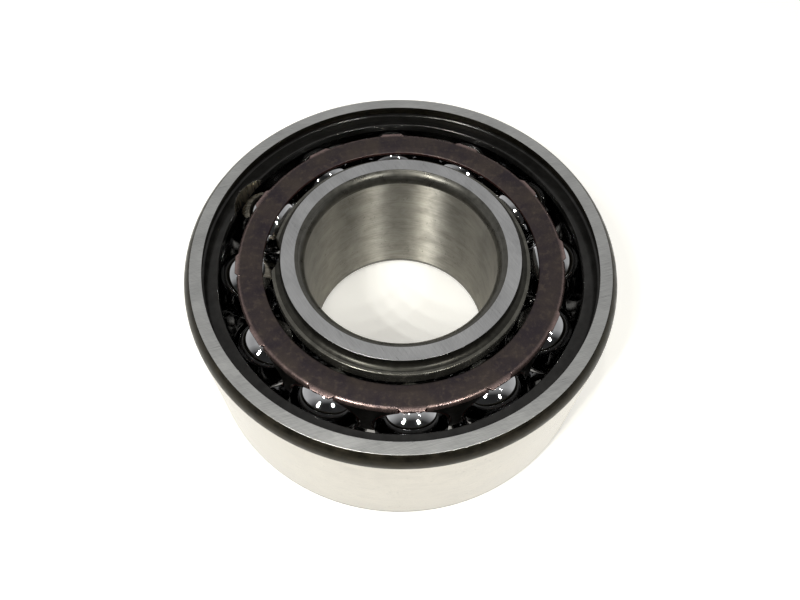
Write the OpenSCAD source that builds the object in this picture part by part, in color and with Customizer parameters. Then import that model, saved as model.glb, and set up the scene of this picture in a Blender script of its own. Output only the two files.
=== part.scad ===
// Double-row angular contact ball bearing, maximum-fill type with filling slots.
// The origin is the centre of the bearing, and +Z is its axis.

/* [Boundary dimensions] */
// Bore diameter
bore_d = 45; // [44:0.5:46]
// Outside diameter
outside_d = 100; // [99:0.5:101]
// Width of both rings along the axis
ring_w = 39.7; // [39:0.1:41]

/* [Corner reliefs] */
// Height of the bore's corner relief, measured across the face
bore_relief_radial = 2; // [1:0.1:2.4]
// Depth of the bore's corner relief along the axis
bore_relief_axial = 3; // [2:0.1:4]
// Height of the outside corner relief, measured across the face
outside_relief_radial = 1.8; // [1:0.1:2.4]
// Depth of the outside corner relief along the axis
outside_relief_axial = 3.4; // [2:0.1:4]

/* [Balls and raceways] */
// Ball diameter, 21/32 inch
ball_d = 16.669; // [16.2:0.001:16.7]
// Pitch circle diameter of each row
pitch_d = 72.8; // [72.6:0.1:73]
// Distance between the planes of the two rows
row_spacing = 17.2; // [17:0.1:17.4]
// Contact angle, in degrees from the row's plane
contact_angle = 30; // [25:1:32]
// Raceway radius as a part of the ball diameter
conformity = 0.52; // [0.515:0.005:0.53]
// Running gap between ball and raceway at the contact
running_gap = 0.02; // [0.01:0.01:0.06]

/* [Ring shoulders] */
// Diameter where the inner ring's face ends
inner_face_d = 55.4; // [54.6:0.1:56]
// Diameter of the inner ring's shoulders next to the faces
inner_shoulder_d = 60.3; // [60:0.1:60.8]
// Depth of the inner ring's seal step below the face
inner_step = 2.4; // [2:0.1:3]
// Diameter of the inner ring's land between the rows
inner_land_d = 58.6; // [58:0.1:59.4]
// Diameter where the outer ring's face begins
outer_face_d = 90.9; // [90.6:0.1:91.4]
// Diameter of the outer ring's shoulders next to the faces
outer_shoulder_d = 85.2; // [84.6:0.1:86]
// Depth of the outer ring's seal step below the face
outer_step = 3.5; // [3:0.1:3.8]
// Diameter of the outer ring's rib between the rows
outer_rib_d = 82.8; // [82.4:0.1:84]

/* [Filling slots] */
// Diameter of the round filling slots
slot_d = 16.6; // [16.4:0.1:16.6]
// Step left between the slot and the bottom of the raceway
slot_lip = 0.3; // [0.2:0.05:0.5]
// Direction of the outer ring's slots, in degrees
outer_slot_angle = 150; // [0:1:359]
// Direction of the inner ring's slots, in degrees
inner_slot_angle = 175; // [0:1:359]

/* [Cages] */
// Sheet thickness
sheet_t = 0.75; // [0.6:0.05:0.75]
// Depth of the cage's flange below the ring faces
flange_depth = 2.08; // [2:0.02:2.1]
// Inside diameter of the flange
flange_in_d = 64.3; // [63:0.1:65]
// Diameter where the flange's dished rim begins
rim_bend_d = 67.7; // [66.6:0.1:68.2]
// Drop of the flange's rim at its inside edge
rim_drop = 0.4; // [0.2:0.05:0.5]
// Outside diameter of the cage's prongs
prong_out_d = 76.4; // [75.8:0.1:76.6]
// Outside radius of the bend between flange and prongs
bend_r = 1.3; // [0.9:0.05:1.4]
// Reach of the prongs past the row's plane
prong_reach = 3.6; // [3:0.1:4]
// Clearance between a ball and its window
window_gap = 0.32; // [0.2:0.02:0.4]
// Diameter that the flat tabs over the balls reach
tab_out_d = 76.9; // [76.8:0.1:78]
// Width of a tab at its outside edge
tab_tip_w = 4.6; // [4:0.1:5]
// Width of a tab over the bend
tab_root_w = 6.4; // [5.4:0.1:7]

/* [Hidden] */
$fn = 120;
ball_count = 12;
ball_step = 360 / ball_count;
half_w = ring_w / 2;
row_z = row_spacing / 2;
pitch_r = pitch_d / 2;
bore_r = bore_d / 2;
outside_r = outside_d / 2;
slot_r = slot_d / 2;

groove_r = conformity * ball_d;
groove_shift = groove_r - ball_d / 2 - running_gap;
shift_r = groove_shift * cos(contact_angle);
shift_z = groove_shift * sin(contact_angle);
inner_groove_bottom = pitch_r + shift_r - groove_r;
outer_groove_bottom = pitch_r - shift_r + groove_r;

step_fillet = 1.6;
shoulder_edge_r = 0.4;
seal_groove_drop = 0.7;
seal_groove_r = outer_face_d / 2 + 0.8;
ledge_fillet = 0.8;
past = 1;

flange_top = half_w - flange_depth;
flange_in_r = flange_in_d / 2;
rim_bend_r = rim_bend_d / 2;
prong_out_r = prong_out_d / 2;
prong_in_r = prong_out_r - sheet_t;
bend_start_r = prong_out_r - bend_r;
prong_tip_z = row_z - prong_reach;
window_r = ball_d / 2 + window_gap;
window_start_r = bend_start_r - sheet_t;
tab_out_r = tab_out_d / 2;

function two_digits(i) = str(i < 10 ? "0" : "", i);
function ball_name(row, i) = str("ball_", row, "_", two_digits(i));
ROWS = ["upper", "lower"];

// Repeats a shape at the far face of the bearing.
module both_faces() {
    children();
    mirror([0, 0, 1]) children();
}

// The same for a half section, whose second axis is the bearing's axis.
module both_ends() {
    children();
    mirror([0, 1]) children();
}

// A box in the half section, from one radius and height to another.
module block(r1, z1, r2, z2) {
    translate([r1, z1]) square([r2 - r1, z2 - z1]);
}

// What an arc takes off a corner of a half section. The arc leaves the cylindrical side smoothly,
// and meets the face at an edge. inwards is 1 for the outside corner and -1 for the bore's corner.
module corner_relief(side_r, inwards, radial, axial) {
    arc_r = (radial * radial + axial * axial) / (2 * radial);
    centre_r = side_r - inwards * arc_r;
    clear_r = side_r + inwards * past;
    start_z = half_w - axial;
    difference() {
        block(min(clear_r, centre_r), start_z, max(clear_r, centre_r), half_w + past);
        translate([centre_r, start_z]) circle(r = arc_r);
    }
}

// What rounds a shoulder's edge, where a level ledge meets the shoulder. side is 1 if the metal
// lies on the larger radius.
module shoulder_round(edge_r, ledge_z, side) {
    centre_r = edge_r + side * shoulder_edge_r;
    clear_r = edge_r - side * past;
    centre_z = ledge_z - shoulder_edge_r;
    difference() {
        block(min(clear_r, centre_r), centre_z, max(clear_r, centre_r), ledge_z + past);
        translate([centre_r, centre_z]) circle(r = shoulder_edge_r);
    }
}

// The seal step that is turned out of the inner ring's face corner.
module inner_step_space() {
    wall_r = inner_face_d / 2;
    floor_z = half_w - inner_step;
    far_r = inner_shoulder_d / 2 + past;
    block(wall_r, floor_z + step_fillet, far_r, half_w + past);
    block(wall_r + step_fillet, floor_z, far_r, half_w + past);
    translate([wall_r + step_fillet, floor_z + step_fillet]) circle(r = step_fillet);
}

// The seal step of the outer ring: a recess under the face's edge, and a level ledge below it.
module outer_step_space() {
    lip_r = outer_face_d / 2;
    floor_z = half_w - outer_step;
    near_r = outer_shoulder_d / 2 - past;
    block(near_r, floor_z, lip_r, half_w + past);
    polygon([
        [near_r, half_w - seal_groove_drop],
        [lip_r, half_w - seal_groove_drop],
        [seal_groove_r, half_w - 2 * seal_groove_drop],
        [seal_groove_r, floor_z + ledge_fillet],
        [near_r, floor_z + ledge_fillet]
    ]);
    block(near_r, floor_z, seal_groove_r - ledge_fillet, floor_z + ledge_fillet);
    translate([seal_groove_r - ledge_fillet, floor_z + ledge_fillet]) circle(r = ledge_fillet);
}

module outer_section() {
    shoulder_r = outer_shoulder_d / 2;
    difference() {
        block(outer_rib_d / 2, -half_w, outside_r, half_w);
        both_ends() {
            translate([pitch_r - shift_r, row_z + shift_z]) circle(r = groove_r);
            block(0, row_z + shift_z, shoulder_r, half_w + past);
            outer_step_space();
            shoulder_round(shoulder_r, half_w - outer_step, 1);
            corner_relief(outside_r, 1, outside_relief_radial, outside_relief_axial);
        }
    }
}

module inner_section() {
    shoulder_r = inner_shoulder_d / 2;
    land_r = inner_land_d / 2;
    difference() {
        block(bore_r, -half_w, shoulder_r, half_w);
        block(land_r, shift_z - row_z, shoulder_r + past, row_z - shift_z);
        both_ends() {
            translate([pitch_r + shift_r, row_z - shift_z]) circle(r = groove_r);
            inner_step_space();
            shoulder_round(shoulder_r, half_w - inner_step, -1);
            corner_relief(bore_r, -1, bore_relief_radial, bore_relief_axial);
        }
    }
}

// A filling slot: round, along the axis, and open at the face.
module filling_slot(angle, centre_r) {
    rotate([0, 0, angle]) translate([centre_r, 0, row_z + past]) cylinder(r = slot_r, h = half_w);
}

module outer_ring() {
    color([0.78, 0.78, 0.76]) difference() {
        rotate_extrude() outer_section();
        both_faces() filling_slot(outer_slot_angle, outer_groove_bottom - slot_lip - slot_r);
    }
}

module inner_ring() {
    color([0.72, 0.72, 0.73]) difference() {
        rotate_extrude() inner_section();
        both_faces() filling_slot(inner_slot_angle, inner_groove_bottom + slot_lip + slot_r);
    }
}

module cage_section() {
    polygon([
        [flange_in_r, flange_top - rim_drop],
        [rim_bend_r, flange_top],
        [bend_start_r, flange_top],
        [bend_start_r, flange_top - sheet_t],
        [rim_bend_r, flange_top - sheet_t],
        [flange_in_r, flange_top - rim_drop - sheet_t]
    ]);
    intersection() {
        translate([bend_start_r, flange_top - bend_r]) difference() {
            circle(r = bend_r);
            circle(r = bend_r - sheet_t);
        }
        block(bend_start_r, flange_top - bend_r, prong_out_r, flange_top);
    }
    block(prong_in_r, prong_tip_z, prong_out_r, flange_top - bend_r);
}

// The flat tab that is left in the flange over a ball.
module cage_tab() {
    tab_in_r = bend_start_r - 2 * sheet_t;
    translate([0, 0, flange_top - sheet_t]) linear_extrude(sheet_t) polygon([
        [tab_in_r, -tab_root_w / 2],
        [prong_in_r, -tab_root_w / 2],
        [tab_out_r, -tab_tip_w / 2],
        [tab_out_r, tab_tip_w / 2],
        [prong_in_r, tab_root_w / 2],
        [tab_in_r, tab_root_w / 2]
    ]);
}

// The upper row's cage: a bent ring with a round window at each ball, open below.
module cage() {
    difference() {
        rotate_extrude() cage_section();
        for (i = [1:ball_count]) {
            rotate([0, 0, i * ball_step])
            translate([window_start_r, 0, row_z])
            rotate([0, 90, 0]) cylinder(r = window_r, h = prong_out_r - window_start_r + past);
        }
    }
    for (i = [1:ball_count]) {
        rotate([0, 0, i * ball_step]) cage_tab();
    }
}

module cage_upper() {
    color([0.34, 0.27, 0.26]) cage();
}

module cage_lower() {
    color([0.34, 0.27, 0.26]) mirror([0, 0, 1]) cage();
}

// Ball number i of a row.
module ball(row, i) {
    angle = (i - 1) * ball_step;
    height = row == "lower" ? -row_z : row_z;
    color([0.86, 0.87, 0.88])
        rotate([0, 0, angle]) translate([pitch_r, 0, height]) sphere(d = ball_d);
}

outer_ring();
inner_ring();
cage_upper();
cage_lower();
for (row = ROWS, i = [1:ball_count]) {
    ball(row, i);
}
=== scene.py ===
"""The looks of a double-row angular contact ball bearing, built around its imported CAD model.

The rings are turned again from half sections with finer corners and one finish for each machined zone,
the cages are bent from one sheet each, and the balls keep their CAD meshes. Every size is in metres.
"""
import math

import bpy
import numpy as np
from mathutils import Matrix, Vector


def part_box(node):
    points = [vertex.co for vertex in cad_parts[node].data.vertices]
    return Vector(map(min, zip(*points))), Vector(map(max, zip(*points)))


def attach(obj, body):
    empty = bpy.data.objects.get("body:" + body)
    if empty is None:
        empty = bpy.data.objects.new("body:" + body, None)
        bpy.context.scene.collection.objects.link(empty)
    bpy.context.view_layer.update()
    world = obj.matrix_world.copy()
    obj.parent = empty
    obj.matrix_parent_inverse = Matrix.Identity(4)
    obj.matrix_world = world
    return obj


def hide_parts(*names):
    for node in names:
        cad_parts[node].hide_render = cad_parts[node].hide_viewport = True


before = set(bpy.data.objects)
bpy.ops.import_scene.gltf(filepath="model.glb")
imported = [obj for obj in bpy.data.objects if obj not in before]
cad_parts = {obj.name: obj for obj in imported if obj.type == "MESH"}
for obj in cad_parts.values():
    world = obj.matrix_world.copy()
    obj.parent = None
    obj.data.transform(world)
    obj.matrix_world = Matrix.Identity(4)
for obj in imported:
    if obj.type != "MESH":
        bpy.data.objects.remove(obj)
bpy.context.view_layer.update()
scene = bpy.context.scene
scene.view_settings.view_transform = "Standard"

MM = 0.001
TOUCH = 0.02 * MM
TAU = 2 * math.pi

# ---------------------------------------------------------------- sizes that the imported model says


def polar(node):
    """The radius and height of every vertex of a CAD node."""
    co = np.array([v.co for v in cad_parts[node].data.vertices])
    return np.hypot(co[:, 0], co[:, 1]), co[:, 2]


def near(values, value):
    return np.abs(values - value) < TOUCH


BALL_COUNT = 12
PITCH = TAU / BALL_COUNT
ball_low, ball_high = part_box("ball_upper_01")
pitch_r = (ball_low.x + ball_high.x) / 2
row_z = (ball_low.z + ball_high.z) / 2
ball_r = (ball_high.z - ball_low.z) / 2

# The raceways are ground to these rules.
CONFORMITY = 0.52
CONTACT = math.radians(30)
RUNNING_GAP = 0.02 * MM
groove_r = CONFORMITY * 2 * ball_r
groove_shift = groove_r - ball_r - RUNNING_GAP
shift_r = groove_shift * math.cos(CONTACT)
shift_z = groove_shift * math.sin(CONTACT)

# The outer ring's half section.
out_r, out_z = polar("outer_ring")
half_w = out_z.max()
outside_r = out_r.max()
out_face = out_r[near(out_z, half_w)]
out_face_in, out_face_out = out_face.min(), out_face.max()
out_relief_z = out_z[near(out_r, outside_r)].max()
recess_r = out_r[(out_r < out_face_out - TOUCH) & (out_z < half_w - TOUCH)].max()
recess_bottom, recess_top = (out_z[near(out_r, recess_r) & (out_z > 0)].min(),
                             out_z[near(out_r, recess_r)].max())
ledge_z = out_z[near(out_r, out_face_in) & (out_z > 0)].min()
lip_z = out_z[near(out_r, out_face_in) & (out_z < half_w - TOUCH)].max()
out_shoulder_r = out_r[out_z > row_z + ball_r / 2].min()
rib_r = out_r.min()
out_groove = (pitch_r - shift_r, row_z + shift_z)

# The inner ring's half section.
in_r, in_z = polar("inner_ring")
bore_r = in_r.min()
in_face = in_r[near(in_z, half_w)]
in_face_in, in_face_out = in_face.min(), in_face.max()
in_relief_z = in_z[near(in_r, bore_r)].max()
in_shoulder_r = in_r.max()
in_land_r = in_r[np.abs(in_z) < row_z / 2].max()
step_z = in_z[in_r > in_shoulder_r - 0.5 * MM].max()
step_fillet = in_z[near(in_r, in_face_out) & (in_z < half_w - TOUCH)].max() - step_z
in_groove = (pitch_r + shift_r, row_z - shift_z)

# A cage's sheet.
cage_r, cage_z = polar("cage_upper")
flange_z = cage_z.max()
flange_in_r = cage_r.min()
flange_edge = cage_z[near(cage_r, flange_in_r)]
sheet_t = flange_edge.max() - flange_edge.min()
rim_drop = flange_z - flange_edge.max()
rim_bend_r = cage_r[near(cage_z, flange_z)].min()
prong_tip_z = cage_z.min()
prong_out_r = cage_r[near(cage_z, prong_tip_z)].max()
bend_r = flange_z - cage_z[near(cage_r, prong_out_r)].max()
bend_start_r = prong_out_r - bend_r
tab_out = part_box("cage_upper")[1].x

# Small sizes that the model keeps and that aren't read back from its mesh.
SHOULDER_ROUND = 0.4 * MM
SLOT_R = 8.3 * MM
TOOL_MARGIN = 1 * MM
SLOT_LIP = 0.3 * MM
OUTER_SLOT_ANGLE = math.radians(150)
INNER_SLOT_ANGLE = math.radians(175)
WINDOW_GAP = 0.32 * MM
TAB_TIP_HALF = 2.3 * MM
TAB_ROOT_HALF = 3.2 * MM
# How far a tab droops at its tip, from the press. The CAD tab is level.
TAB_DROOP = 0.22 * MM

# Small rounded edges, for the looks alone: where a ring is turned, where it is cut, and on the sheet.
EDGE = 0.07 * MM
RING_EDGE, RING_EDGE_ANGLE = 0.1 * MM, math.radians(40)
SHEET_EDGE, SHEET_EDGE_ANGLE = 0.13 * MM, math.radians(55)
# Half the width of the soft line where a cage's rim starts to dish.
RIM_BEND_HALF = 0.12 * MM

# Steps round a ring, round a slot's tool, and along a raceway's groove.
TURN_STEPS, SLOT_STEPS, RACE_STEPS = 384, 96, 40

# ---------------------------------------------------------------- materials


class Finish:
    """A procedural material: a Principled shader and the nodes that feed it."""

    def __init__(self, name, **constants):
        self.material = bpy.data.materials.new(name)
        self.material.use_nodes = True
        self.tree = self.material.node_tree
        self.shader = self.tree.nodes["Principled BSDF"]
        for socket, value in constants.items():
            self.shader.inputs[socket.replace("_", " ")].default_value = value
        self.place = self.node("ShaderNodeTexCoord").outputs["Object"]

    def node(self, kind, settings=None, **sockets):
        made = self.tree.nodes.new(kind)
        for key, value in (settings or {}).items():
            setattr(made, key, value)
        for key, value in sockets.items():
            self.feed(made.inputs[key.replace("_", " ")], value)
        return made

    def feed(self, socket, value):
        if isinstance(value, bpy.types.NodeSocket):
            self.tree.links.new(value, socket)
        else:
            socket.default_value = value

    def scaled(self, scale, turn=0.0):
        """Object coordinates in metres, turned about the axis and scaled along each direction."""
        turned = self.node("ShaderNodeVectorRotate", {"rotation_type": "Z_AXIS"},
                           Vector=self.place, Angle=turn)
        made = self.node("ShaderNodeVectorMath", {"operation": "MULTIPLY"})
        self.feed(made.inputs[0], turned.outputs[0])
        made.inputs[1].default_value = scale
        return made.outputs[0]

    def noise(self, scale, turn=0.0, detail=3.0, roughness=0.5, distortion=0.0):
        made = self.node("ShaderNodeTexNoise", Vector=self.scaled(scale, turn), Scale=1.0,
                         Detail=detail, Roughness=roughness, Distortion=distortion)
        return made.outputs["Fac"]

    def ranged(self, value, low, high, from_low=0.3, from_high=0.7):
        made = self.node("ShaderNodeMapRange", {"clamp": True})
        for socket, given in zip(made.inputs, (value, from_low, from_high, low, high)):
            self.feed(socket, given)
        return made.outputs[0]

    def math(self, operation, a, b):
        made = self.node("ShaderNodeMath", {"operation": operation})
        self.feed(made.inputs[0], a)
        self.feed(made.inputs[1], b)
        return made.outputs[0]

    def mixed(self, factor, first, second):
        made = self.node("ShaderNodeMix", {"data_type": "RGBA"})
        self.feed(made.inputs[0], factor)
        for socket, colour in ((made.inputs[6], first), (made.inputs[7], second)):
            self.feed(socket, colour if isinstance(colour, bpy.types.NodeSocket) else (*colour, 1.0))
        return made.outputs[2]

    def colour(self, value):
        self.feed(self.shader.inputs["Base Color"], value)

    def rough(self, value):
        self.feed(self.shader.inputs["Roughness"], value)

    def bump(self, *layers):
        """Layers are (height from 0 to 1, real depth in metres)."""
        normal = None
        for height, depth in layers:
            made = self.node("ShaderNodeBump", Height=height, Distance=depth, Strength=1.0)
            if normal is not None:
                self.feed(made.inputs["Normal"], normal)
            normal = made.outputs[0]
        self.feed(self.shader.inputs["Normal"], normal)


def ground_face(name, dark, light, turn):
    """A face that a grinding disc crossed: long fine straight scratches in two crossing directions."""
    made = Finish(name, Metallic=1.0)
    main = made.noise((260, 5200, 400), turn, detail=4)
    cross = made.noise((350, 6500, 400), turn + math.radians(52), detail=3)
    broad = made.noise((90, 160, 90), turn, detail=3)
    lay = made.math("ADD", made.math("MULTIPLY", main, 0.65), made.math("MULTIPLY", cross, 0.35))
    tone = made.math("ADD", made.math("MULTIPLY", lay, 0.7), made.math("MULTIPLY", broad, 0.3))
    made.colour(made.mixed(made.ranged(tone, 0, 1, 0.38, 0.62), dark, light))
    made.rough(made.ranged(tone, 0.27, 0.40, 0.35, 0.65))
    made.bump((lay, 0.004 * MM))
    return made.material


def ground_round(name, dark, light, rough_low, rough_high, stretch):
    """A ground cylinder: scratches run round it, so its highlights stretch along the axis."""
    made = Finish(name, Metallic=1.0, Anisotropic=stretch, Anisotropic_Rotation=0.25)
    tangent = made.node("ShaderNodeTangent", {"direction_type": "RADIAL", "axis": "Z"})
    made.feed(made.shader.inputs["Tangent"], tangent.outputs[0])
    lay = made.noise((110, 110, 7000), detail=4)
    broad = made.noise((190, 190, 260), detail=6, roughness=0.62, distortion=0.4)
    tone = made.math("ADD", made.math("MULTIPLY", lay, 0.4), made.math("MULTIPLY", broad, 0.6))
    body = made.mixed(made.ranged(tone, 0, 1, 0.38, 0.62), dark, light)
    # Small stains and pits, in loose groups.
    spots = made.noise((1500, 1500, 1100), detail=4, roughness=0.65)
    where = made.noise((120, 120, 160), detail=2)
    grouped = made.ranged(where, 0, 1, 0.45, 0.60)
    stained = made.math("MULTIPLY", made.ranged(spots, 0, 0.55, 0.60, 0.68), grouped)
    made.colour(made.mixed(stained, body, [0.35 * c for c in dark]))
    made.rough(made.ranged(tone, rough_low, rough_high, 0.35, 0.65))
    made.bump((lay, 0.002 * MM))
    return made.material


def turned_dark(name, dark, light, rough_low, rough_high, lines=5200, depth=0.003):
    """A surface left as it was turned and hardened: dark, with fine tool lines round it."""
    made = Finish(name, Metallic=0.8)
    around = made.noise((60, 60, lines), detail=3)
    blotch = made.noise((420, 420, 420), detail=5, roughness=0.62)
    fine = made.noise((2600, 2600, 2600), detail=3, roughness=0.6)
    tone = made.math("ADD", made.math("MULTIPLY", around, 0.4), made.math("MULTIPLY", blotch, 0.6))
    made.colour(made.mixed(made.ranged(tone, 0, 1, 0.36, 0.66), dark, light))
    made.rough(made.ranged(blotch, rough_low, rough_high, 0.35, 0.65))
    made.bump((around, depth * MM), (fine, 0.0015 * MM))
    return made.material


def raceway(name, colour):
    made = Finish(name, Metallic=1.0)
    lay = made.noise((90, 90, 3000), detail=3)
    made.colour(made.mixed(made.ranged(lay, 0, 1), [c * 0.9 for c in colour], colour))
    made.rough(made.ranged(lay, 0.10, 0.16))
    made.bump((lay, 0.0008 * MM))
    return made.material


def milled(name, dark, light):
    """The filling slots: milled along the axis, so their tool marks run up the wall."""
    made = Finish(name, Metallic=1.0)
    marks = made.noise((1500, 1500, 50), detail=3)
    made.colour(made.mixed(made.ranged(marks, 0, 1, 0.38, 0.62), dark, light))
    made.rough(made.ranged(marks, 0.22, 0.34))
    made.bump((marks, 0.003 * MM))
    return made.material


def oxidised_sheet(name, dark, light, worn_tone, rough=0.30, rubbed_and_highlight=None):
    """Phosphated sheet steel: satin brown with a purple cast, and fine speckle.

    The last argument gives a brighter tone that grows along the bend: a painted highlight where the bend
    catches the lamps, and partly wear where the sheet was drawn over the die.
    """
    made = Finish(name, Metallic=0.9)
    cloud = made.noise((160, 160, 160), detail=4, roughness=0.6)
    blotch = made.noise((620, 620, 620), detail=5, roughness=0.7)
    grain = made.noise((5200, 5200, 5200), detail=3, roughness=0.7)
    body = made.mixed(made.ranged(cloud, 0, 1, 0.35, 0.65), dark, light)
    worn = made.mixed(made.ranged(blotch, 0, 1, 0.52, 0.72), body, worn_tone)
    specks = made.mixed(made.ranged(grain, 0, 0.6, 0.60, 0.74), worn, (0.17, 0.135, 0.12))
    # A brighter tone towards the outside of the bend, in patches: a painted highlight, and partly wear.
    if rubbed_and_highlight:
        flat = made.node("ShaderNodeVectorMath", {"operation": "MULTIPLY"})
        made.feed(flat.inputs[0], made.place)
        flat.inputs[1].default_value = (1, 1, 0)
        radius = made.node("ShaderNodeVectorMath", {"operation": "LENGTH"})
        made.feed(radius.inputs[0], flat.outputs[0])
        along = made.ranged(radius.outputs["Value"], 0, 1, bend_start_r, prong_out_r - 0.25 * bend_r)
        rubbed_and_highlight_mask = made.math("MULTIPLY", along, made.ranged(blotch, 0.7, 1.0, 0.4, 0.6))
        specks = made.mixed(rubbed_and_highlight_mask, specks, rubbed_and_highlight)
    made.colour(specks)
    made.rough(made.ranged(blotch, rough, rough + 0.12, 0.35, 0.65))
    made.bump((cloud, 0.02 * MM), (grain, 0.004 * MM))
    return made.material


def polished_ball(name):
    made = Finish(name, Metallic=1.0)
    haze = made.noise((300, 300, 300), detail=4, roughness=0.6)
    made.colour(made.mixed(made.ranged(haze, 0, 1), (0.60, 0.61, 0.62), (0.68, 0.68, 0.69)))
    made.rough(made.ranged(haze, 0.028, 0.060))
    return made.material


FACE, ROUND, SCALE, STEP, RACE, SLOT, FILLET = range(7)
SHEET, CUT, BEND, SHADED_PRONG = range(4)
race = raceway("raceway_steel", (0.34, 0.34, 0.34))
slot_cut = milled("slot_steel", (0.25, 0.225, 0.175), (0.40, 0.365, 0.295))
outer_finishes = [
    ground_face("outer_face_steel", (0.44, 0.44, 0.43), (0.62, 0.62, 0.60), math.radians(-12)),
    ground_round("outside_steel", (0.36, 0.340, 0.312), (0.47, 0.446, 0.410), 0.16, 0.26, 0.6),
    turned_dark("outer_relief_steel", (0.009, 0.008, 0.005), (0.030, 0.025, 0.016), 0.32, 0.50),
    turned_dark("outer_step_steel", (0.026, 0.025, 0.024), (0.048, 0.047, 0.045), 0.13, 0.22),
    race,
    slot_cut,
]
inner_finishes = [
    ground_face("inner_face_steel", (0.44, 0.44, 0.44), (0.60, 0.60, 0.60), math.radians(58)),
    ground_round("bore_steel", (0.245, 0.234, 0.205), (0.415, 0.398, 0.352), 0.44, 0.52, 1.0),
    turned_dark("inner_relief_steel", (0.055, 0.053, 0.046), (0.11, 0.106, 0.094), 0.26, 0.38),
    turned_dark("inner_step_steel", (0.080, 0.077, 0.066), (0.16, 0.154, 0.134), 0.20, 0.30),
    race,
    slot_cut,
    # The step's fillet is painted far darker than the step round it: painted shade in the hollow below the
    # face, on top of its turned finish.
    turned_dark("inner_fillet_painted_shade", (0.020, 0.019, 0.016), (0.045, 0.043, 0.036), 0.26, 0.38),
]
cage_finishes = [
    oxidised_sheet("cage_sheet_steel", (0.048, 0.038, 0.044), (0.082, 0.064, 0.056), (0.108, 0.084, 0.068)),
    oxidised_sheet("cage_cut_steel", (0.110, 0.050, 0.046), (0.190, 0.090, 0.082), (0.230, 0.130, 0.110)),
    # The bend's finish: smoother, with a painted highlight along the bend that is partly wear.
    oxidised_sheet("cage_bend_highlight_steel", (0.048, 0.038, 0.044), (0.082, 0.064, 0.056), (0.108, 0.084, 0.068),
                   0.22, (0.300, 0.215, 0.200)),
    # The prongs are painted near black: painted shade where they stand down between the balls, out of the
    # lamps' light.
    oxidised_sheet("cage_prong_painted_shade", (0.008, 0.008, 0.008), (0.016, 0.014, 0.012), (0.024, 0.019, 0.016),
                   0.38),
]
ball_finish = polished_ball("ball_steel")

# ---------------------------------------------------------------- rings


def arc(centre, radius, start, end, steps):
    """Points on a circle in the half section. Angles are in degrees from the outward radius."""
    return [(centre[0] + radius * math.cos(a), centre[1] + radius * math.sin(a))
            for a in np.radians(np.linspace(start, end, steps + 1))]


def eased(path):
    """Replaces each hard corner of a path of (point, zone, hard) by a short curve."""
    made = []
    for i, (point, zone, hard) in enumerate(path):
        if not hard:
            made.append((point, zone))
            continue
        here = Vector(point)
        before, after = Vector(path[i - 1][0]), Vector(path[(i + 1) % len(path)][0])
        first = here + (before - here).normalized() * EDGE
        last = here + (after - here).normalized() * EDGE
        for t in (0.0, 0.33, 0.67, 1.0):
            spot = first * (1 - t) ** 2 + here * 2 * t * (1 - t) + last * t * t
            made.append((tuple(spot), path[i - 1][1] if t < 0.3 else zone))
    return made


def mirrored(half):
    """The whole section from its upper half, which runs from the mid-plane to the mid-plane."""
    zones = [zone for _, zone, _ in half]
    lower = [((r, -z), zones[i - 1] if i else zones[0], hard)
             for i, ((r, z), _, hard) in reversed(list(enumerate(half)))]
    return half + lower


def zone_path(*runs):
    """Joins runs of (zone, hard at the start, points)."""
    return [(point, zone, hard and i == 0) for zone, hard, points in runs for i, point in enumerate(points)]


def turned_ring(name, section, finishes):
    """A closed half section turned about +Z."""
    points = eased(section)
    count = len(points)
    angles = np.linspace(0, TAU, TURN_STEPS, endpoint=False)
    verts = [(r * math.cos(a), r * math.sin(a), z) for a in angles for (r, z), _ in points]
    faces, zones = [], []
    for i in range(TURN_STEPS):
        here, there = i * count, ((i + 1) % TURN_STEPS) * count
        for j in range(count):
            k = (j + 1) % count
            faces.append((here + j, there + j, there + k, here + k))
            zones.append(points[j][1])
    mesh = bpy.data.meshes.new(name)
    mesh.from_pydata(verts, [], faces)
    for finish in finishes:
        mesh.materials.append(finish)
    mesh.polygons.foreach_set("material_index", zones)
    made = bpy.data.objects.new(name, mesh)
    scene.collection.objects.link(made)
    return made


def slot_cutters(angle, centre_r, finishes):
    """The two round tools that open a ring's raceways to its faces.

    Each starts TOOL_MARGIN beyond the middle of its row, and ends as far outside the face.
    """
    made = bpy.data.meshes.new("cutter")
    verts, faces = [], []
    centre = Vector((math.cos(angle), math.sin(angle))) * centre_r
    for side in (1, -1):
        base = len(verts)
        for z in (row_z + TOOL_MARGIN, half_w + TOOL_MARGIN):
            verts += [(centre.x + SLOT_R * math.cos(a), centre.y + SLOT_R * math.sin(a), side * z)
                      for a in np.linspace(0, TAU, SLOT_STEPS, endpoint=False)]
        low, high = range(base, base + SLOT_STEPS), range(base + SLOT_STEPS, base + 2 * SLOT_STEPS)
        rows = [(low[i], low[(i + 1) % SLOT_STEPS], high[(i + 1) % SLOT_STEPS], high[i])
                for i in range(SLOT_STEPS)]
        caps = [tuple(reversed(low)), tuple(high)]
        faces += [face if side > 0 else tuple(reversed(face)) for face in rows + caps]
    made.from_pydata(verts, [], faces)
    for finish in finishes:
        made.materials.append(finish)
    made.polygons.foreach_set("material_index", [SLOT] * len(made.polygons))
    tool = bpy.data.objects.new("cutter", made)
    scene.collection.objects.link(tool)
    return tool


def apply_modifiers(piece):
    bpy.context.view_layer.update()
    result = bpy.data.meshes.new_from_object(piece.evaluated_get(bpy.context.evaluated_depsgraph_get()))
    piece.modifiers.clear()
    piece.data = result


def soften(piece, width, limit):
    """Rounds the piece's hard edges and gives its flats true normals."""
    bevel = piece.modifiers.new("edges", "BEVEL")
    bevel.width, bevel.segments = width, 2
    bevel.limit_method, bevel.angle_limit = "ANGLE", limit
    bevel.use_clamp_overlap = False
    for polygon in piece.data.polygons:
        polygon.use_smooth = True
    normals = piece.modifiers.new("normals", "WEIGHTED_NORMAL")
    normals.weight, normals.keep_sharp = 50, False


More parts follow.
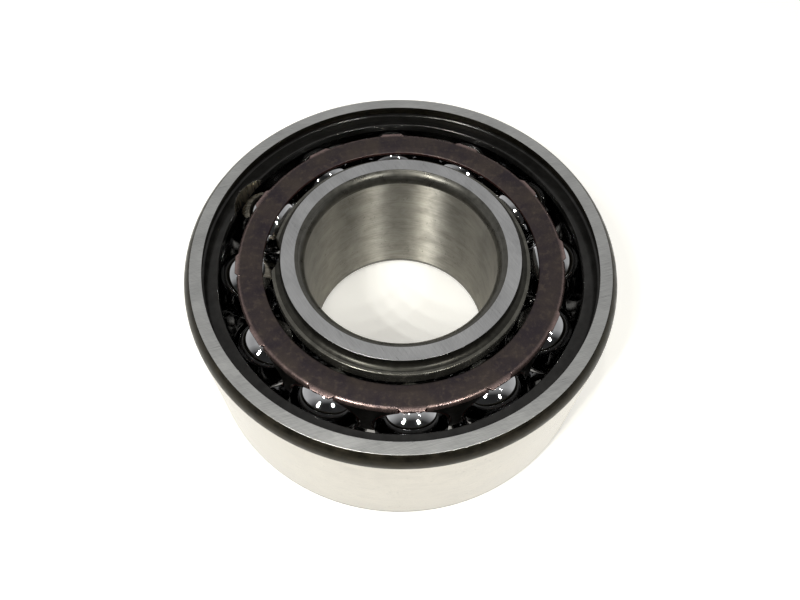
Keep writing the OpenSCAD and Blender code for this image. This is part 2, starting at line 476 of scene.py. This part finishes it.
def cut_slots(ring, tool):
    cut = ring.modifiers.new("slots", "BOOLEAN")
    cut.operation, cut.solver, cut.object = "DIFFERENCE", "MANIFOLD", tool
    cut.material_mode = "INDEX"
    apply_modifiers(ring)
    bpy.data.objects.remove(tool)
    soften(ring, RING_EDGE, RING_EDGE_ANGLE)


def groove_at(centre, radius):
    """The half height of a raceway's circle at a radius."""
    return math.sqrt(groove_r ** 2 - (radius - centre[0]) ** 2)


def groove_angle(centre, radius, height):
    return math.degrees(math.atan2(height - centre[1], radius - centre[0]))


relief_rad, relief_ax = outside_r - out_face_out, half_w - out_relief_z
relief_arc = (relief_rad ** 2 + relief_ax ** 2) / (2 * relief_rad)
relief_end = math.degrees(math.asin(relief_ax / relief_arc))
ledge_fillet = recess_bottom - ledge_z
groove_top = out_groove[1] + groove_at(out_groove, out_shoulder_r)
groove_foot = out_groove[1] - groove_at(out_groove, rib_r)
outer_half = zone_path(
    (ROUND, False, [(outside_r, 0.0), (outside_r, out_relief_z * 0.9)]),
    (SCALE, False, arc((outside_r - relief_arc, out_relief_z), relief_arc, 0, relief_end, 14)[:-1]),
    (FACE, True, [(out_face_out, half_w)]),
    (SCALE, True, [(out_face_in, half_w)]),
    (SCALE, True, [(out_face_in, lip_z)]),
    (SCALE, True, [(recess_r, recess_top)]),
    (STEP, False, arc((recess_r - ledge_fillet, ledge_z + ledge_fillet), ledge_fillet, 0, -90, 8)[:-1]),
    (STEP, False, [(out_face_in, ledge_z)]),
    (STEP, False, arc((out_shoulder_r + SHOULDER_ROUND, ledge_z - SHOULDER_ROUND),
                      SHOULDER_ROUND, 90, 180, 6)),
    (RACE, True, arc(out_groove, groove_r, groove_angle(out_groove, out_shoulder_r, groove_top),
                     groove_angle(out_groove, rib_r, groove_foot), RACE_STEPS)[:-1]),
    (STEP, True, [(rib_r, groove_foot)]),
    (STEP, False, [(rib_r, 0.0)]),
)
bore_rad, bore_ax = in_face_in - bore_r, half_w - in_relief_z
bore_arc = (bore_rad ** 2 + bore_ax ** 2) / (2 * bore_rad)
bore_end = 180 - math.degrees(math.asin(bore_ax / bore_arc))
in_top = in_groove[1] + groove_at(in_groove, in_shoulder_r)
in_foot = in_groove[1] - groove_at(in_groove, in_land_r)
inner_half = zone_path(
    (STEP, False, [(in_land_r, 0.0)]),
    (RACE, True, arc(in_groove, groove_r, groove_angle(in_groove, in_land_r, in_foot) % 360,
                     groove_angle(in_groove, in_shoulder_r, in_top) % 360, RACE_STEPS)[:-1]),
    (STEP, True, [(in_shoulder_r, in_top)]),
    (STEP, False, arc((in_shoulder_r - SHOULDER_ROUND, step_z - SHOULDER_ROUND), SHOULDER_ROUND, 0, 90, 6)),
    (FILLET, False, arc((in_face_out + step_fillet, step_z + step_fillet), step_fillet, 270, 180, 14)),
    (FACE, True, [(in_face_out, half_w)]),
    (SCALE, True, [(in_face_in, half_w)]),
    (SCALE, False, arc((bore_r + bore_arc, in_relief_z), bore_arc, bore_end, 180, 12)[1:-1]),
    (ROUND, False, [(bore_r, in_relief_z), (bore_r, 0.0)]),
)


def whole(half):
    """Both halves of a section, without doubling the points on the mid-plane."""
    full = mirrored(half)
    return [full[i] for i in range(len(full)) if i not in (len(half), len(full) - 1)]


outer = turned_ring("outer_ring_body", whole(outer_half), outer_finishes)
cut_slots(outer, slot_cutters(OUTER_SLOT_ANGLE, out_groove[0] + groove_r - SLOT_LIP - SLOT_R, outer_finishes))
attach(outer, "outer_ring")
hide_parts("outer_ring")

inner = turned_ring("inner_ring_body", whole(inner_half), inner_finishes)
cut_slots(inner, slot_cutters(INNER_SLOT_ANGLE, in_groove[0] - groove_r + SLOT_LIP + SLOT_R, inner_finishes))
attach(inner, "inner_ring")
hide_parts("inner_ring")

# ---------------------------------------------------------------- cages

window_r = ball_r + WINDOW_GAP
TAB_COLUMNS, BAR_COLUMNS, TAB_ROWS = 16, 30, 6
BEND_ROWS, WINDOW_ROWS = 8, 26


def window_half_angle(z):
    """Half the angle that a ball's window takes from the prongs at a height."""
    return math.asin(math.sqrt(max(window_r ** 2 - (z - row_z) ** 2, 0.0)) / prong_out_r)


def flange_top(r):
    """The height of the flange's upper side, with its dished rim."""
    along = (rim_bend_r - r) / (rim_bend_r - flange_in_r)
    ease = 0.18
    rise = 0.0 if along < -ease else along if along > ease else (along + ease) ** 2 / (4 * ease)
    return flange_z - rim_drop * rise


def cage_sheet(name, side):
    """One row's cage: a flange, a tab over each ball, and prongs bent down between the balls."""
    top, under, faces, zones = [], [], [], []
    tab_half = math.asin(TAB_ROOT_HALF / bend_start_r)
    bend_end_z = flange_z - bend_r
    notch_half = window_half_angle(bend_end_z)
    tab_angles = np.linspace(-tab_half, tab_half, TAB_COLUMNS + 1)
    root_angles = np.linspace(tab_half, PITCH - tab_half, BAR_COLUMNS + 1)
    bar_angles = np.linspace(notch_half, PITCH - notch_half, BAR_COLUMNS + 1)
    angles = [k * PITCH + a for k in range(BALL_COUNT) for a in (*tab_angles, *root_angles[1:-1])]
    columns = len(angles)
    per_ball = TAB_COLUMNS + BAR_COLUMNS

    def add(r, angle, z, lean=0.0):
        """A point on the sheet's outer side, and the one below it. lean is the sheet's turn from level."""
        for skin_points, depth in ((top, 0.0), (under, sheet_t)):
            spot_r = r - depth * math.sin(lean)
            skin_points.append((spot_r * math.cos(angle), spot_r * math.sin(angle),
                                side * (z - depth * math.cos(lean))))
        return len(top) - 1

    def skin(rows, zone=SHEET):
        for low, high in zip(rows, rows[1:]):
            for i in range(len(low) - 1):
                faces.append((low[i], high[i], high[i + 1], low[i + 1]))
                zones.append(zone)

    radii = [flange_in_r, *np.linspace(flange_in_r, rim_bend_r, 5)[1:-1], rim_bend_r - RIM_BEND_HALF,
             rim_bend_r, rim_bend_r + RIM_BEND_HALF, *np.linspace(rim_bend_r, bend_start_r, 6)[1:]]
    rings = [[add(r, a, flange_top(r)) for a in angles] for r in radii]
    skin([ring + ring[:1] for ring in rings])
    rim = rings[-1]

    for k in range(BALL_COUNT):
        turn = k * PITCH
        first = k * per_ball
        tab_root = rim[first:first + TAB_COLUMNS + 1]
        bar_root = [rim[(first + TAB_COLUMNS + i) % columns] for i in range(BAR_COLUMNS + 1)]
        tab_rows = [tab_root]
        for x in np.linspace(bend_start_r, tab_out, TAB_ROWS + 1)[1:]:
            half = np.interp(x, (prong_out_r - sheet_t, tab_out), (TAB_ROOT_HALF, TAB_TIP_HALF))
            out = (x - bend_start_r) / (tab_out - bend_start_r)
            lean = math.atan(2 * TAB_DROOP * out / (tab_out - bend_start_r))
            z = flange_z - TAB_DROOP * out ** 2
            row = []
            for share in np.linspace(-1, 1, TAB_COLUMNS + 1):
                y = share * half
                row.append(add(math.hypot(x, y), turn + math.atan2(y, x), z, lean))
            tab_rows.append(row)
        skin(tab_rows, BEND)

        bar_rows = [bar_root]
        for row in range(1, BEND_ROWS + 1):
            phi = math.pi / 2 * row / BEND_ROWS
            r = bend_start_r + bend_r * math.sin(phi)
            z = bend_end_z + bend_r * math.cos(phi)
            bar_rows.append([add(r, turn + a, z, phi) for a in bar_angles])
        top_turn = math.asin((bend_end_z - row_z) / window_r)
        low_turn = math.asin((prong_tip_z - row_z) / window_r)
        for psi in np.linspace(top_turn, low_turn, WINDOW_ROWS + 1)[1:]:
            z = row_z + window_r * math.sin(psi)
            half = window_half_angle(z)
            bar_rows.append([add(prong_out_r, turn + a, z, math.pi / 2)
                             for a in np.linspace(half, PITCH - half, BAR_COLUMNS + 1)])
        skin(bar_rows[:BEND_ROWS + 1], BEND)
        # The prongs take the near-black finish: painted shade.
        skin(bar_rows[BEND_ROWS:], SHADED_PRONG)

    count = len(top)
    used = {edge for face in faces for edge in zip(face, face[1:] + face[:1])}
    walls = [(b, a, a + count, b + count) for a, b in sorted(used) if (b, a) not in used]
    solid = faces + [tuple(i + count for i in reversed(face)) for face in faces] + walls
    if side < 0:
        solid = [tuple(reversed(face)) for face in solid]
    mesh = bpy.data.meshes.new(name)
    mesh.from_pydata(top + under, [], solid)
    for finish in cage_finishes:
        mesh.materials.append(finish)
    mesh.polygons.foreach_set("material_index", zones + zones + [CUT] * len(walls))
    made = bpy.data.objects.new(name, mesh)
    scene.collection.objects.link(made)
    soften(made, SHEET_EDGE, SHEET_EDGE_ANGLE)
    return made


for row, side in (("upper", 1), ("lower", -1)):
    cage = cage_sheet(f"cage_{row}_sheet", side)
    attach(cage, f"cage_{row}")
    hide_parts(f"cage_{row}")

# ---------------------------------------------------------------- balls

for name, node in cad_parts.items():
    if name.startswith("ball_"):
        node.data.materials.clear()
        node.data.materials.append(ball_finish)

# ---------------------------------------------------------------- stage, light and camera

floor_mesh = bpy.data.meshes.new("floor")
reach, floor_z = 4.0, -half_w
floor_mesh.from_pydata([(-reach, -reach, floor_z), (reach, -reach, floor_z),
                        (reach, reach, floor_z), (-reach, reach, floor_z)], [], [(0, 1, 2, 3)])
floor = bpy.data.objects.new("floor", floor_mesh)
scene.collection.objects.link(floor)
floor_finish = Finish("floor_white", Metallic=0.0, Roughness=0.6, Base_Color=(0.93, 0.925, 0.90, 1),
                      Emission_Color=(1.0, 0.97, 0.90, 1))
# The table glows a little, and more far away, where the lamps don't reach.
away = floor_finish.node("ShaderNodeVectorMath", {"operation": "LENGTH"})
floor_finish.feed(away.inputs[0], floor_finish.place)
floor_finish.feed(floor_finish.shader.inputs["Emission Strength"],
                  floor_finish.ranged(away.outputs["Value"], 0.35, 1.0, 0.2, 0.9))
floor_mesh.materials.append(floor_finish.material)


def lamp(name, place, size, power, colour):
    """A small rectangular lamp that faces the bearing. power is in watts."""
    light = bpy.data.lights.new(name, "AREA")
    light.shape, light.size, light.size_y = "RECTANGLE", *size
    light.energy, light.color = power, colour
    made = bpy.data.objects.new(name, light)
    made.location = place
    made.rotation_euler = (-Vector(place)).to_track_quat("-Z", "Y").to_euler()
    scene.collection.objects.link(made)


LAMP_FAR, LAMP_GAP = 0.46, math.radians(4.0)
LAMP_SIZE = (0.012, 0.008)
WARM, COOL = (1.0, 0.97, 0.86), (0.97, 0.99, 1.0)


def lamp_cluster(name, azimuth, elevation, columns, lines, power):
    """Rows of small lamps round a direction that is given in degrees from the viewer's right."""
    for i in range(columns * lines):
        turn = math.radians(azimuth) + CAMERA_TURN + (i % columns - (columns - 1) / 2) * LAMP_GAP * 1.5
        rise = math.radians(elevation) + (i // columns - (lines - 1) / 2) * LAMP_GAP
        place = [LAMP_FAR * c for c in (math.cos(rise) * math.cos(turn), math.cos(rise) * math.sin(turn),
                                        math.sin(rise))]
        lamp(f"{name}_{i}", place, LAMP_SIZE, power / (columns * lines), WARM if i % 2 else COOL)


CAMERA_TURN = math.radians(-4.5)
lamp_cluster("left", -124, 52, 2, 4, 1.35)
lamp_cluster("right", -57, 51, 2, 3, 0.66)
lamp_cluster("top", -120, 78, 2, 2, 0.22)
lamp_cluster("side", -30, 63, 1, 2, 0.06)

world = bpy.data.worlds.new("studio")
scene.world = world
world.use_nodes = True
tree = world.node_tree
nodes, links = tree.nodes, tree.links
background = nodes["Background"]


def world_node(kind, settings, *inputs):
    made = nodes.new(kind)
    for key, value in settings.items():
        setattr(made, key, value)
    for socket, value in zip(made.inputs, inputs):
        if isinstance(value, bpy.types.NodeSocket):
            links.new(value, socket)
        elif value is not None:
            socket.default_value = value
    return made


def world_ramp(value, stops):
    made = world_node("ShaderNodeValToRGB", {}, value)
    ramp = made.color_ramp
    ramp.interpolation = "EASE"
    while len(ramp.elements) < len(stops):
        ramp.elements.new(0.5)
    for element, (position, level) in zip(ramp.elements, stops):
        element.position = position
        element.color = (level, level, level, 1)
    return made.outputs[0]


direction = world_node("ShaderNodeTexCoord", {}).outputs["Generated"]
axes = world_node("ShaderNodeSeparateXYZ", {}, direction)
height = axes.outputs[2]
ahead = world_node("ShaderNodeMath", {"operation": "MULTIPLY"}, axes.outputs[1], -1.0).outputs[0]
# A lightbox: pale walls, a dimmer ceiling, and an open dark front on the camera's side.
sky = world_ramp(height, [(0.0, 1.0), (0.45, 0.55), (0.80, 0.42), (1.0, 0.52)])
front_level = world_node("ShaderNodeMapRange", {}, ahead, 0.05, 0.45, 1.0, 0.06).outputs[0]
level = world_node("ShaderNodeMath", {"operation": "MULTIPLY"}, sky, front_level).outputs[0]
is_camera = world_node("ShaderNodeLightPath", {}).outputs["Is Camera Ray"]
shown = world_node("ShaderNodeMix", {"data_type": "FLOAT"}, is_camera, None, level, 1.0)
links.new(shown.outputs[0], background.inputs["Color"])
background.inputs["Strength"].default_value = 1.0

# The photograph's viewpoint: a close camera, a little turned about the bearing's axis.
CAMERA_DOWN = math.radians(59.625)
CAMERA_ROLL = math.radians(-1.170)
CAMERA_PLACE = Vector((-0.065 * MM, -93.246 * MM, half_w + 137.013 * MM))
# Blender takes these two in millimetres.
LENS_LENGTH, SENSOR_WIDTH = 32.36, 36
forward = Vector((0, math.cos(CAMERA_DOWN), -math.sin(CAMERA_DOWN)))
right = Vector((1, 0, 0))
down = forward.cross(right)
turned_right = math.cos(CAMERA_ROLL) * right + math.sin(CAMERA_ROLL) * down
turned_down = math.cos(CAMERA_ROLL) * down - math.sin(CAMERA_ROLL) * right
pose = Matrix((turned_right, -turned_down, -forward)).transposed().to_4x4()
pose.translation = CAMERA_PLACE
lens = bpy.data.cameras.new("camera")
lens.lens, lens.sensor_width = LENS_LENGTH, SENSOR_WIDTH
lens.clip_start = 1 * MM
camera = bpy.data.objects.new("camera", lens)
scene.collection.objects.link(camera)
camera.matrix_world = Matrix.Rotation(CAMERA_TURN, 4, "Z") @ pose
scene.camera = camera

bpy.context.view_layer.update()
